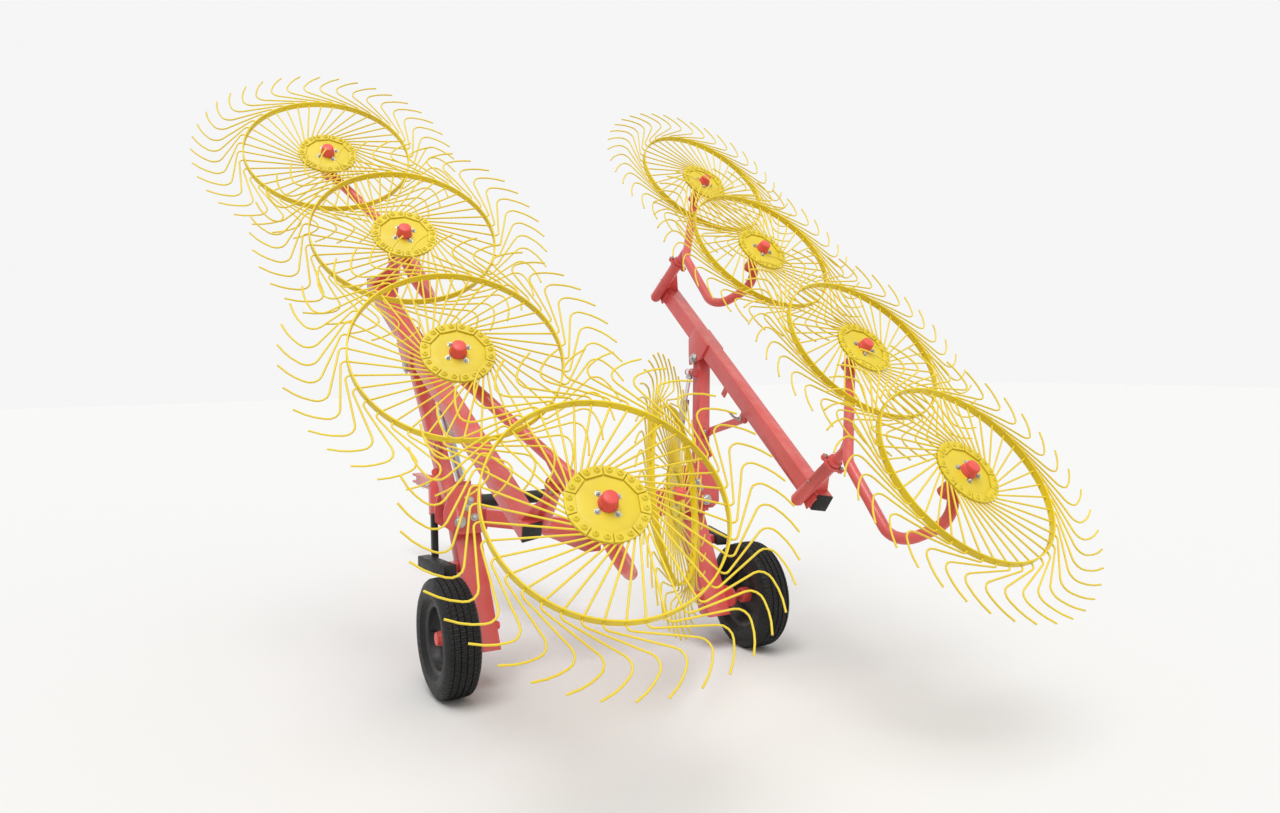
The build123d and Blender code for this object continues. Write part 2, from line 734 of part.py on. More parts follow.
# Kicker arm and wheel, which leans because the arm is raised from its working place
kicker_level = Vector(cos(radians(kicker_heading)), -sin(radians(kicker_heading)), 0)
kicker_lean = kicker_level.rotate(Axis.X, -kicker_raised)
kicker_up = Vector(0, 0, 1) - kicker_lean * kicker_lean.Z
kicker_wheel_place = Location(Plane(kicker_place, x_dir=kicker_up, z_dir=kicker_lean))
save(placed(rake_wheel.part, kicker_wheel_place), "kicker_wheel")
save(placed(wheel_hub.part, kicker_wheel_place), "kicker_hub")
kicker_end = Vector(*kicker_place) - kicker_lean * (hub_back + hub_root_gap)
kicker_corner = Vector(*kicker_place) - kicker_lean * kicker_setback
with BuildPart() as kicker_arm:
    with BuildSketch(Plane.YZ.offset(-kicker_tube_length / 2)):
        with Locations(kicker_pivot[1:]):
            Circle(kicker_tube_radius)
    extrude(amount=kicker_tube_length)
    add(bent_tube([kicker_pivot, kicker_corner, kicker_end], rocker_radius, [kicker_bend]))
    with BuildSketch(Plane(kicker_end, z_dir=kicker_lean)):
        Circle(stub_radius)
    extrude(amount=stub_length)
    with BuildSketch(Plane.YZ.offset(-kicker_tube_length / 2)):
        with Locations(kicker_pivot[1:]):
            Circle(kicker_pin_radius + running_gap)
    extrude(amount=kicker_tube_length, mode=Mode.SUBTRACT)
save(kicker_arm.part, "kicker_arm")

# Fold cylinders, each along X from its foot pin, turned into the folded pose
head = arm_place * Location((cylinder_head[0], cylinder_y, cylinder_head[1]))
foot = Vector(hinge_x + cylinder_foot[0], hinge_y + cylinder_y, hinge_z + cylinder_foot[1])
reach = head.position - foot
cylinder_place = Location(foot, (0, -degrees(atan2(reach.Z, reach.X)), 0))
with BuildPart() as barrel:
    with BuildSketch(Plane.XZ.offset(-eye_width / 2)):
        Circle(eye_radius)
    extrude(amount=eye_width)
    with BuildSketch(Plane.YZ):
        Circle(eye_width / 2)
    extrude(amount=barrel_floor)
    with BuildSketch(Plane.YZ.offset(barrel_start)):
        Circle(barrel_radius)
    extrude(amount=barrel_length - barrel_start)
    with BuildSketch(Plane.XZ.offset(-barrel_radius)):
        Circle(cylinder_pin_radius + running_gap)
    extrude(amount=2 * barrel_radius, mode=Mode.SUBTRACT)
    with BuildSketch(Plane.YZ.offset(barrel_length)):
        Circle(rod_radius + running_gap)
    extrude(amount=barrel_floor - barrel_length, mode=Mode.SUBTRACT)
save_pair(placed(barrel.part, cylinder_place), "fold_barrel")
with BuildPart() as rod:
    with BuildSketch(Plane.YZ.offset(reach.length)):
        Circle(rod_radius)
    extrude(amount=rod_start - reach.length)
    with BuildSketch(Plane.XZ.offset(-eye_width / 2)):
        with Locations((reach.length, 0)):
            Circle(eye_radius)
    extrude(amount=eye_width)
save_pair(placed(rod.part, cylinder_place), "fold_rod")
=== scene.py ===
import json
import random
from math import asin, atan2, cos, pi, radians, sin, tan

import bmesh
import bpy
from mathutils import Matrix, Vector


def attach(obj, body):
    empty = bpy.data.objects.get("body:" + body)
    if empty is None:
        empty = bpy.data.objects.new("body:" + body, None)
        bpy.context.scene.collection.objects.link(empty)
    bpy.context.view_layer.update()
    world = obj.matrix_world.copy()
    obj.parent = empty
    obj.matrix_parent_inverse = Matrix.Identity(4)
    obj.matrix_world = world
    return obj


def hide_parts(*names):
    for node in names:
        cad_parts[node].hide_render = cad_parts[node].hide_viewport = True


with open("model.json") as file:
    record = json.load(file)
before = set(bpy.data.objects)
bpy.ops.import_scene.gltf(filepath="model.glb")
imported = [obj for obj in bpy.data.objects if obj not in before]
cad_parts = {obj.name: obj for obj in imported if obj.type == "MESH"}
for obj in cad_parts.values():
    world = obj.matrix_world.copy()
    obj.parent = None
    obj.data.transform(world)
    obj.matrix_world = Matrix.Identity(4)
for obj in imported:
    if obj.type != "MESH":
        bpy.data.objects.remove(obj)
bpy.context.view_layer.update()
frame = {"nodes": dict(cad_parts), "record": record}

scene = bpy.context.scene
turns = Matrix.Rotation
shift = Matrix.Translation
as_is = Matrix.Identity(4)

# Camera at the photograph's place, with a lens for a frame 1280 pixels wide
camera_place = (-2.3216, -5.6991, 1.6839)
yaw, pitch, roll = radians(27.4), radians(-2.87), radians(-0.84)
camera_data = bpy.data.cameras.new("camera")
camera_data.sensor_width = 36.0
camera_data.lens = 28.52
camera = bpy.data.objects.new("camera", camera_data)
scene.collection.objects.link(camera)
forward = Vector((sin(yaw) * cos(pitch), cos(yaw) * cos(pitch), sin(pitch)))
level = Vector((cos(yaw), -sin(yaw), 0.0))
above = level.cross(forward)
side_way = level * cos(roll) + above * sin(roll)
top_way = above * cos(roll) - level * sin(roll)
aim = Matrix((side_way, top_way, -forward)).transposed().to_4x4()
camera.matrix_world = shift(camera_place) @ aim
scene.camera = camera
scene.view_settings.view_transform = "Standard"

# Sizes and places in metres and degrees, as the solids have them, with the right one of a pair
hinge = (0.748, -0.537, 0.833)
fold_angle = 80.5
boom_spread = 32.0
post_reach, post_forward = 0.832, 0.194
bolt_along, bolt_inside = 1.457, 0.097
boom_pitch = 2.125
pivot_above = 0.084
pivot_tube_radius = 0.034
pivot_outer = -0.270
flange_thick, flange_ear_pitch = 0.016, 0.096
wheel_toe = 17.7
rocker_float = 1.5
rear_hub = (-0.449, -0.856, -0.040)
front_hub = (0.582, -0.509, -0.150)
kicker_hub = (0.104, -1.374, 1.001)
kicker_heading, kicker_raised = 42.0, -9.0
kicker_pivot = (0, -0.679, 0.740)
kicker_lug_face = 0.073
track_half, axle_y, tyre_radius = 0.893, -0.834, 0.300
tyre_width, rim_radius = 0.185, 0.178
cylinder_y = 0.171
cylinder_foot = (-0.090, 0.160)
cylinder_head = (0.743, 0.082)
cylinder_foot_side, cylinder_head_side = 0.0175, 0.027
barrel_length, barrel_radius = 0.430, 0.024
rod_radius, eye_radius = 0.013, 0.022
bracket_rear, bracket_front = -0.075, 0.107
strut_post_end, strut_boom_end = (0.395, 0.012), (0.815, 0.100)
strut_head = 0.017
clamp_face = 0.057
jack_place = (-0.075, 2.260, 0.590)
jack_sleeve = 0.066
tube_length, tube_radius, tube_y, tube_z = 0.480, 0.0425, 0.660, 0.7475

# Turns for pieces that are made along Z, and the mirror that gives the left side
axle_basis = Matrix(((0, -1, 0, 0), (0, 0, -1, 0), (1, 0, 0, 0), (0, 0, 0, 1)))
outward = Matrix(((0, 0, 1, 0), (1, 0, 0, 0), (0, 1, 0, 0), (0, 0, 0, 1)))
to_x = turns(radians(90), 4, "Y")
to_rear = turns(radians(90), 4, "X")
to_front = turns(radians(-90), 4, "X")
turned_over = turns(radians(180), 4, "X")
mirror_x = Matrix.Diagonal((-1, 1, 1, 1))
sides = {"right": as_is, "left": mirror_x}

# Frames of the right arm, boom, rockers and folding cylinder
arm_place = shift(hinge) @ turns(radians(-fold_angle), 4, "Y")
boom_place = (
    arm_place
    @ shift((post_reach, post_forward, 0))
    @ turns(radians(90 - boom_spread), 4, "Z")
    @ shift((-bolt_along, -bolt_inside, 0))
)
pivot_places = [boom_place @ shift((x, 0, 0)) @ turns(radians(-wheel_toe), 4, "Z") for x in (0, boom_pitch)]
rocker_places = [
    place @ shift((0, 0, pivot_above)) @ turns(radians(tilt), 4, "Y") @ shift((0, 0, -pivot_above))
    for place, tilt in zip(pivot_places, (rocker_float, -rocker_float))
]
cylinder_from = Vector((hinge[0] + cylinder_foot[0], hinge[1] + cylinder_y, hinge[2] + cylinder_foot[1]))
cylinder_to = arm_place @ Vector((cylinder_head[0], cylinder_y, cylinder_head[1]))
cylinder_run = cylinder_to - cylinder_from
cylinder_place = shift(cylinder_from) @ turns(-atan2(cylinder_run.z, cylinder_run.x), 4, "Y")


# Material tools
def new_material(name):
    material = bpy.data.materials.new(name)
    material.use_nodes = True
    tree = material.node_tree
    return material, tree, tree.nodes["Principled BSDF"]


def noise(tree, scale, detail, rough=0.55, stretch=(1, 1, 1)):
    """Noise fixed to the piece, by its Object coordinates."""
    place = tree.nodes.new("ShaderNodeTexCoord")
    size = tree.nodes.new("ShaderNodeMapping")
    size.inputs["Scale"].default_value = stretch
    node = tree.nodes.new("ShaderNodeTexNoise")
    node.inputs["Scale"].default_value = scale
    node.inputs["Detail"].default_value = detail
    node.inputs["Roughness"].default_value = rough
    tree.links.new(place.outputs["Object"], size.inputs["Vector"])
    tree.links.new(size.outputs["Vector"], node.inputs["Vector"])
    return node.outputs["Fac"]


def levels(tree, value, low, high, to_low=0.0, to_high=1.0):
    """Spreads the values between low and high smoothly over a new range."""
    node = tree.nodes.new("ShaderNodeMapRange")
    node.interpolation_type = "SMOOTHSTEP"
    node.inputs["From Min"].default_value = low
    node.inputs["From Max"].default_value = high
    node.inputs["To Min"].default_value = to_low
    node.inputs["To Max"].default_value = to_high
    tree.links.new(value, node.inputs["Value"])
    return node.outputs["Result"]


def times(tree, first, second):
    node = tree.nodes.new("ShaderNodeMath")
    node.operation = "MULTIPLY"
    tree.links.new(first, node.inputs[0])
    tree.links.new(second, node.inputs[1])
    return node.outputs["Value"]


def blend_colours(tree, amount, first, second):
    """Mixes two colours, each a tuple or a node's output."""
    node = tree.nodes.new("ShaderNodeMix")
    node.data_type = "RGBA"
    tree.links.new(amount, node.inputs["Factor"])
    for colour, socket in ((first, node.inputs[6]), (second, node.inputs[7])):
        if isinstance(colour, tuple):
            socket.default_value = (*colour, 1)
        else:
            tree.links.new(colour, socket)
    return node.outputs[2]


def facing_up(tree, low, high):
    """Goes from 0 to 1 as a face turns from looking sideways or down to looking up."""
    place = tree.nodes.new("ShaderNodeTexCoord")
    parts = tree.nodes.new("ShaderNodeSeparateXYZ")
    tree.links.new(place.outputs["Normal"], parts.inputs["Vector"])
    return levels(tree, parts.outputs["Z"], low, high)


def relief(tree, shader, height, depth, strength, edge=0.0):
    """Fine relief of the surface, with hard edges softened over the width of edge."""
    bump = tree.nodes.new("ShaderNodeBump")
    bump.inputs["Strength"].default_value = strength
    bump.inputs["Distance"].default_value = depth
    tree.links.new(height, bump.inputs["Height"])
    if edge:
        rounding = tree.nodes.new("ShaderNodeBevel")
        rounding.samples = 4
        rounding.inputs["Radius"].default_value = edge
        tree.links.new(rounding.outputs["Normal"], bump.inputs["Normal"])
    tree.links.new(bump.outputs["Normal"], shader.inputs["Normal"])


# Finishes
field_dust = (0.42, 0.34, 0.24)
pale_red_dust = (0.60, 0.34, 0.30)
# Pale red for the red paint's upward faces: partly dust, partly a painted highlight of reflected sky
sheen_red = (0.74, 0.42, 0.40)
bare_chip = (0.16, 0.10, 0.08)
fade_gain, fade_lift = 1.7, 0.004


def painted(name, colour, shade, dust_and_sheen=field_dust, dust_and_sheen_share=0.3, coat=0.06, edge=0.0):
    """Sprayed enamel: faint clouding, orange peel, small chips, and a film where it faces up: dust, which
    with the pale sheen_red is also a painted highlight of reflected sky.
    """
    material, tree, shader = new_material(name)
    clouds = levels(tree, noise(tree, scale=2.6, detail=6.0), low=0.35, high=0.7)
    body = blend_colours(tree, clouds, colour, shade)
    # Film on upward faces: dust, and with sheen_red also a painted highlight of reflected sky
    dust_and_sheen_patches = noise(tree, scale=11.0, detail=8.0, rough=0.7)
    patchy = levels(tree, dust_and_sheen_patches, low=0.42, high=0.75, to_high=dust_and_sheen_share)
    film = times(tree, facing_up(tree, low=0.1, high=0.95), patchy)
    dusted_and_sheened = blend_colours(tree, film, body, dust_and_sheen)
    chips = levels(tree, noise(tree, scale=95.0, detail=3.0, rough=0.6), low=0.735, high=0.76, to_high=0.75)
    chipped = blend_colours(tree, chips, dusted_and_sheened, bare_chip)
    tree.links.new(chipped, shader.inputs["Base Color"])
    wear = noise(tree, scale=17.0, detail=6.0, rough=0.65)
    worn = levels(tree, wear, low=0.3, high=0.75, to_low=0.4, to_high=0.6)
    tree.links.new(worn, shader.inputs["Roughness"])
    shader.inputs["Specular IOR Level"].default_value = 0.35
    shader.inputs["Coat Weight"].default_value = coat
    shader.inputs["Coat Roughness"].default_value = 0.2
    relief(tree, shader, noise(tree, scale=420.0, detail=2.0), depth=0.00025, strength=0.5, edge=edge)
    return material


def plated(name, colour, tint, rough=(0.25, 0.5), depth=0.0002, edge=0.0):
    """Plated steel: soft mottling of tone and gloss, with fine scratches."""
    material, tree, shader = new_material(name)
    clouds = levels(tree, noise(tree, scale=38.0, detail=5.0), low=0.3, high=0.7)
    tree.links.new(blend_colours(tree, clouds, colour, tint), shader.inputs["Base Color"])
    shader.inputs["Metallic"].default_value = 1.0
    gloss = levels(tree, noise(tree, scale=70.0, detail=6.0), 0.3, 0.7, *rough)
    tree.links.new(gloss, shader.inputs["Roughness"])
    scratches = noise(tree, scale=260.0, detail=4.0, rough=0.7, stretch=(1, 1, 9))
    relief(tree, shader, scratches, depth, strength=0.6, edge=edge)
    return material


def moulded(name, colour, bloom, rough, depth=0.0003, dust_and_sheen_share=0.3):
    """Black plastic or rubber: fine grain and a pale bloom of dust where it faces up."""
    material, tree, shader = new_material(name)
    clouds = levels(tree, noise(tree, scale=9.0, detail=7.0, rough=0.65), low=0.35, high=0.72)
    faded = tuple(c * fade_gain + fade_lift for c in colour)
    body = blend_colours(tree, clouds, colour, faded)
    dust_and_sheen_patches = noise(tree, scale=26.0, detail=7.0, rough=0.7)
    patchy = levels(tree, dust_and_sheen_patches, low=0.4, high=0.7, to_high=dust_and_sheen_share)
    film = times(tree, facing_up(tree, low=-0.3, high=0.9), patchy)
    tree.links.new(blend_colours(tree, film, body, bloom), shader.inputs["Base Color"])
    gloss = levels(tree, noise(tree, scale=60.0, detail=5.0), 0.3, 0.7, *rough)
    tree.links.new(gloss, shader.inputs["Roughness"])
    shader.inputs["Specular IOR Level"].default_value = 0.3
    relief(tree, shader, noise(tree, scale=600.0, detail=3.0), depth, strength=0.6)
    return material


# Its pale film on upward faces is dust and a painted highlight of reflected sky
red_paint = painted(
    "red_paint",
    colour=(0.70, 0.098, 0.092),
    shade=(0.63, 0.075, 0.072),
    dust_and_sheen=sheen_red,
    dust_and_sheen_share=0.3,
    coat=0.6,
    edge=0.004,
)
cap_red = painted(
    "cap_red",
    colour=(0.80, 0.105, 0.088),
    shade=(0.72, 0.080, 0.068),
    dust_and_sheen=pale_red_dust,
    dust_and_sheen_share=0.12,
    edge=0.002,
)
yellow_paint = painted(
    "yellow_paint", colour=(0.74, 0.585, 0.034), shade=(0.66, 0.50, 0.020), dust_and_sheen_share=0.14, coat=0.08
)
hoop_yellow = painted(
    "hoop_yellow", colour=(0.80, 0.61, 0.010), shade=(0.69, 0.51, 0.007), dust_and_sheen_share=0.08, coat=0.08
)
wire_yellow = painted(
    "wire_yellow", colour=(0.82, 0.63, 0.040), shade=(0.74, 0.54, 0.025), dust_and_sheen_share=0.05, coat=0.1
)
rim_black = painted(
    "rim_black", colour=(0.018, 0.018, 0.020), shade=(0.03, 0.03, 0.032), dust_and_sheen_share=0.25, edge=0.002
)
zinc = plated("zinc", colour=(0.50, 0.51, 0.52), tint=(0.42, 0.41, 0.37), edge=0.001)
silver = plated("silver", colour=(0.54, 0.56, 0.58), tint=(0.45, 0.47, 0.50), rough=(0.3, 0.45))
chrome = plated(
    "chrome", colour=(0.80, 0.81, 0.83), tint=(0.74, 0.75, 0.77), rough=(0.06, 0.16), depth=0.00004
)
rubber = moulded(
    "rubber",
    colour=(0.0045, 0.0047, 0.005),
    bloom=(0.05, 0.048, 0.042),
    rough=(0.42, 0.62),
    depth=0.0005,
    dust_and_sheen_share=0.12,
)
black_plastic = moulded(
    "black_plastic", colour=(0.012, 0.012, 0.013), bloom=(0.10, 0.095, 0.085), rough=(0.35, 0.6), dust_and_sheen_share=0.25
)


# Mesh tools
def closed(bm):
    """Merges the doubled points and turns every face outwards."""
    bmesh.ops.remove_doubles(bm, verts=bm.verts, dist=1e-6)
    bmesh.ops.recalc_face_normals(bm, faces=bm.faces)
    return bm


def turned_part(profile, segments):
    """Spins a profile of (radius, height) about Z; a radius of 0 closes it on the axis."""
    bm = bmesh.new()
    points = [bm.verts.new((radius, 0, height)) for radius, height in profile]
    edges = [bm.edges.new(pair) for pair in zip(points, points[1:])]
    bmesh.ops.spin(
        bm,
        geom=points + edges,
        cent=(0, 0, 0),
        axis=(0, 0, 1),
        angle=2 * pi,
        steps=segments,
        use_merge=True,
    )
    return closed(bm)


def raised(bm, face, height):
    """Makes a solid of a flat face by extruding it upwards."""
    grown = bmesh.ops.extrude_face_region(bm, geom=[face])
    top = [v for v in grown["geom"] if isinstance(v, bmesh.types.BMVert)]
    bmesh.ops.translate(bm, vec=(0, 0, height), verts=top)
    bmesh.ops.recalc_face_normals(bm, faces=bm.faces)
    return bm


def eased(bm, edges, width, steps=1, clamped=False):
    """Bevels some edges of a solid."""
    bmesh.ops.bevel(
        bm,
        geom=edges,
        offset=width,
        segments=steps,
        profile=0.5,
        affect="EDGES",
        clamp_overlap=clamped,
        material=-1,
    )
    return bm


def plate(outline, thick, edge):
    """A flat plate with its outline in the XY plane, standing on Z = 0."""
    bm = bmesh.new()
    face = bm.faces.new([bm.verts.new((x, y, 0)) for x, y in outline])
    raised(bm, face, thick)
    return eased(bm, bm.edges[:], edge)


def disc(radius, thick, facets, edge=0.0):
    """A round plate standing on Z = 0, with both rims eased by edge."""
    low_rim = [(radius - edge, 0), (radius, edge)]
    high_rim = [(radius, thick - edge), (radius - edge, thick)]
    return turned_part([(0, 0), *low_rim, *high_rim, (0, thick)], facets)


def joined(*parts):
    """Puts several (bmesh, place) pairs in one bmesh."""
    out = bmesh.new()
    for bm, place in parts:
        mesh = bpy.data.meshes.new("scrap")
        bm.to_mesh(mesh)
        mesh.transform(place)
        out.from_mesh(mesh)
        bpy.data.meshes.remove(mesh)
    return out


def bar_along(points, radius, facets, smooth=True):
    """A round bar through its points, or with smooth along a curve that they control."""
    data = bpy.data.curves.new("run", "CURVE")
    data.dimensions = "3D"
    data.resolution_u = 6
    spline = data.splines.new("NURBS" if smooth else "POLY")
    spline.points.add(len(points) - 1)
    for point, place in zip(spline.points, points):
        point.co = (*place, 1)
    spline.order_u = 3
    spline.use_endpoint_u = True
    data.bevel_depth = radius
    data.bevel_resolution = (facets - 4) // 2
    data.use_fill_caps = True
    run = bpy.data.objects.new("run", data)
    mesh = bpy.data.meshes.new_from_object(run)
    bm = bmesh.new()
    bm.from_mesh(mesh)
    bpy.data.objects.remove(run)
    bpy.data.curves.remove(data)
    bpy.data.meshes.remove(mesh)
    return closed(bm)


def rounded_route(corners):
    """Points of a flat route whose corners, given as (x, y, radius, steps), are arcs."""
    route = [(*corners[0][:2], 0)]
    for before, (x, y, radius, steps), after in zip(corners, corners[1:], corners[2:]):
        corner = Vector((x, y))
        back = (Vector(before[:2]) - corner).normalized()
        ahead = (Vector(after[:2]) - corner).normalized()
        half_turn = back.angle(ahead) / 2
        centre = corner + (back + ahead).normalized() * radius / sin(half_turn)
        start = corner + back * radius / tan(half_turn) - centre
        sweep = (pi - 2 * half_turn) * (1 if back.cross(ahead) < 0 else -1)
        for k in range(steps + 1):
            spot = centre + turns(sweep * k / steps, 2) @ start
            route.append((spot.x, spot.y, 0))
    route.append((*corners[-1][:2], 0))
    return route


def piece(name, bm, place, body, material, slot, *replaced, sharp=38.0):
    """Makes a finished piece of the bmesh, with its place in its mesh, riding on a body."""
    mesh = bpy.data.meshes.new(name)
    bm.to_mesh(mesh)
    mesh.transform(place)
    if place.determinant() < 0:
        mesh.flip_normals()
    mesh.polygons.foreach_set("use_smooth", [True] * len(mesh.polygons))
    mesh.set_sharp_from_angle(angle=radians(sharp))
    mesh.materials.append(material)
    thing = bpy.data.objects.new(name, mesh)
    scene.collection.objects.link(thing)
    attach(thing, body)
    if replaced:
        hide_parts(*replaced)
    return thing


# Nuts, bolts and small fittings, each standing on Z = 0 or passing through it
nut_chamfer_per_thick = 0.16
broad_washer_thick = 0.004

# Radii of studs and washers, and the plain washer's thickness, as shares of a nut's width
stud_share = 0.3
plain_washer_share, plain_washer_rise = 0.85, 0.12
broad_washer_share = 0.68


def hex_nut(across, thick):
    """A hexagon nut without its thread, with a chamfered top."""
    bm = bmesh.new()
    bmesh.ops.create_circle(bm, cap_ends=True, segments=6, radius=across / 2 / cos(pi / 6))
    raised(bm, bm.faces[:][0], thick)
    top = [f for f in bm.faces if f.normal.z > 0.9]
    return eased(bm, [e for f in top for e in f.edges], thick * nut_chamfer_per_thick)


def bolt_end(across, thick, stud=0.006):
    """Washer, nut and the stud's end."""
    rise = across * plain_washer_rise
    lift = shift((0, 0, rise))
    return joined(
        (disc(across * plain_washer_share, rise, facets=20), as_is),
        (hex_nut(across, thick), lift),
        (disc(across * stud_share, thick + stud, facets=12, edge=0.001), lift),
    )


def big_nut(across, thick, stud=0.0):
    """A nut on a broad washer, with the stud's end where it has one."""
    parts = [
        (disc(across * broad_washer_share, broad_washer_thick, facets=32, edge=0.0006), as_is),
        (hex_nut(across, thick), as_is),
    ]
    if stud:
        parts.append((disc(across * stud_share, thick + stud, facets=20, edge=0.0015), as_is))
    return joined(*parts)


def nut_ring(nut, radius, height, count, first=0.0):
    """Equally spaced nuts on a ring of this radius, the first turned by first degrees."""
    spot = shift((radius, 0, height))
    return joined(*[(nut, turns(radians(first + 360 / count * k), 4, "Z") @ spot) for k in range(count)])


def spring_clip(length):
    """An R-clip of thin wire: one straight leg through the pin and one bowed leg over it."""
    run = [
        (0, 0, -0.014),
        (0, 0, 0.006),
        (0, 0, length),
        (0.004, 0, length + 0.012),
        (0.016, 0, length + 0.012),
        (0.020, 0, length),
        (0.010, 0, length * 0.55),
        (0.019, 0, 0.008),
        (0.008, 0, -0.006),
        (0.014, 0, -0.016),
    ]
    return bar_along(run, radius=0.0017, facets=6)


def weld_bead(radius):
    """A fillet weld round a tube of this radius."""
    return turned_part(
        [
            (radius - 0.001, 0),
            (radius + 0.006, 0),
            (radius + 0.0045, 0.0026),
            (radius + 0.002, 0.005),
            (radius - 0.001, 0.0065),
        ],
        segments=40,
    )


def grease_nipple():
    return turned_part(
        [
            (0, -0.002),
            (0.0045, -0.002),
            (0.0045, 0.005),
            (0.0028, 0.006),
            (0.0028, 0.0085),
            (0.0034, 0.0105),
            (0.0024, 0.013),
            (0, 0.0135),
        ],
        segments=12,
    )


# Rake wheel in its own frame: the axle is Z, with the cap side at +Z
tine_count = 40
tine_seed = 7
tine_lean, tine_spread = 0.5, 0.35
wire_radius, wire_facets = 0.0043, 6
disc_radius, disc_face = 0.155, 0.005
plate_count, plate_inner, plate_thick, plate_edge = 10, 0.118, 0.0075, 0.0011
plate_half_slit = 0.0020
plate_steps = 6
dimple_ring, dimple_share = 0.136, 4.2
hub_nut_ring, hub_nut_turn, hub_nut_count = 0.051, 72, 4
hub_nut_seat = disc_face + 0.0005

# The hoop of flat bar, wider and thicker than the solid's 28 by 6 mm, as the real one looks
hoop_radius, hoop_thick, hoop_width = 0.440, 0.007, 0.034
hoop_edge = 0.0012

# Corners of a tine from the disc to its tip: x, y, bend radius, steps of the bend
tine_corners = [
    (0.112, -0.083, 0, 0),
    (0.4665, 0.0095, 0.022, 4),
    (0.5085, -0.2830, 0.045, 4),
    (0.6150, -0.2480, 0.12, 1),
    (0.6695, -0.2080, 0, 0),
]


def build_tines():
    """Forty tines of round wire, each a little out of true."""
    draw = random.Random(tine_seed)
    tine = bar_along(rounded_route(tine_corners), wire_radius, wire_facets, smooth=False)
    parts = []
    for k in range(tine_count):
        lean = turns(radians(draw.uniform(-tine_lean, tine_lean)), 4, "X")
        spread = turns(radians(360 / tine_count * k + draw.uniform(-tine_spread, tine_spread)), 4, "Z")
        parts.append((tine, spread @ lean))
    return joined(*parts)


def build_hoop():
    """A hoop of flat bar with eased edges."""
    half = hoop_width / 2
    inside, outside = hoop_radius - hoop_thick / 2, hoop_radius + hoop_thick / 2
    profile = [
        (inside + hoop_edge, -half),
        (outside - hoop_edge, -half),
        (outside, -half + hoop_edge),
        (outside, half - hoop_edge),
        (outside - hoop_edge, half),
        (inside + hoop_edge, half),
        (inside, half - hoop_edge),
        (inside, -half + hoop_edge),
        (inside + hoop_edge, -half),
    ]
    return turned_part(profile, segments=120)


def clamp_plate(step):
    """One clamp plate, round outside and straight inside, with half a slit at each end."""
    outline = []
    for t in range(plate_steps + 1):
        a = -step / 2 + step * t / plate_steps
        a += (1 - 2 * t / plate_steps) * asin(plate_half_slit / disc_radius)
        outline.append((disc_radius * cos(a), disc_radius * sin(a)))
    edge = step / 2 - asin(plate_half_slit / plate_inner)
    outline += [(plate_inner * cos(a), plate_inner * sin(a)) for a in (edge, -edge)]
    return plate(outline, plate_thick, plate_edge)


def build_disc():
    """Pressed disc with ten clamp plates round its edge, each with two dimples."""
    centre = turned_part(
        [
            (0.036, -0.005),
            (0.150, -0.005),
            (disc_radius - 0.003, -0.004),
            (disc_radius - 0.003, 0.0035),
            (0.150, 0.0045),
            (0.085, 0.005),
            (0.036, 0.0062),
        ],
        segments=60,
    )
    step = 2 * pi / plate_count
    clamp = clamp_plate(step)
    dimple_rise = [(0, 0.0030), (0.0030, 0.0030), (0.0054, 0.0078), (0.0084, 0.0070), (0.0140, -0.001)]
    dimple = turned_part(dimple_rise, segments=14)
    rivet = turned_part([(0, 0.0060), (0.0022, 0.0056), (0.0026, 0.0030)], segments=8)
    parts = [(centre, as_is)]
    for k in range(plate_count):
        place = turns(step * (k + 0.5), 4, "Z") @ shift((0, 0, disc_face))
        parts.append((clamp, place))
        for a in (-step / dimple_share, step / dimple_share):
            spot = place @ turns(a, 4, "Z") @ shift((dimple_ring, 0, plate_thick))
            parts += [(dimple, spot), (rivet, spot)]
    return joined(*parts)


def build_hub():
    """Bearing housing behind the disc and the stepped, tapered cap in front."""
    housing = [
        (0.0162, -0.068),
        (0.030, -0.069),
        (0.036, -0.066),
        (0.0375, -0.060),
        (0.0375, -0.020),
        (0.0375, -0.0185),
    ]
    flange = [(0.072, -0.0175), (0.074, -0.0155), (0.074, -0.0065)]
    cap = [
        (0.0365, -0.0052),
        (0.0365, 0.0075),
        (0.0370, 0.0090),
        (0.0370, 0.0120),
        (0.0352, 0.0140),
        (0.0340, 0.0260),
        (0.0318, 0.0280),
        (0.0300, 0.0480),
        (0.0280, 0.0520),
        (0.0235, 0.0542),
        (0.0, 0.0546),
    ]
    return turned_part(housing + flange + cap, segments=36)


def build_hub_nuts():
    nut = bolt_end(across=0.0145, thick=0.009, stud=0.004)
    return nut_ring(nut, hub_nut_ring, hub_nut_seat, hub_nut_count, hub_nut_turn)


tines, hoop, wheel_disc = build_tines(), build_hoop(), build_disc()
hub_shape, hub_nuts = build_hub(), build_hub_nuts()


def rake_wheel(wheel, hub, place):
    """Dresses a wheel and its hub, which ride on the body that has the wheel's name."""
    piece(f"{wheel}_tines", tines, place, wheel, wire_yellow, "wheel_yellow", wheel, sharp=75)
    piece(f"{wheel}_hoop", hoop, place, wheel, hoop_yellow, "wheel_yellow")
    piece(f"{wheel}_disc", wheel_disc, place, wheel, yellow_paint, "wheel_yellow")
    piece(f"{hub}_housing", hub_shape, place, wheel, cap_red, "frame_red", hub)
    piece(f"{hub}_nuts", hub_nuts, place, wheel, zinc, "zinc_grey")


def kicker_frame():
    """The kicker's place: its axle heads out to one side and leans a little."""
    heading = radians(kicker_heading)
    axle = turns(radians(kicker_raised), 3, "X") @ Vector((cos(heading), -sin(heading), 0))
    top = (Vector((0, 0, 1)) - axle * axle.z).normalized()
    return shift(kicker_hub) @ Matrix((top, axle.cross(top), axle)).transposed().to_4x4()


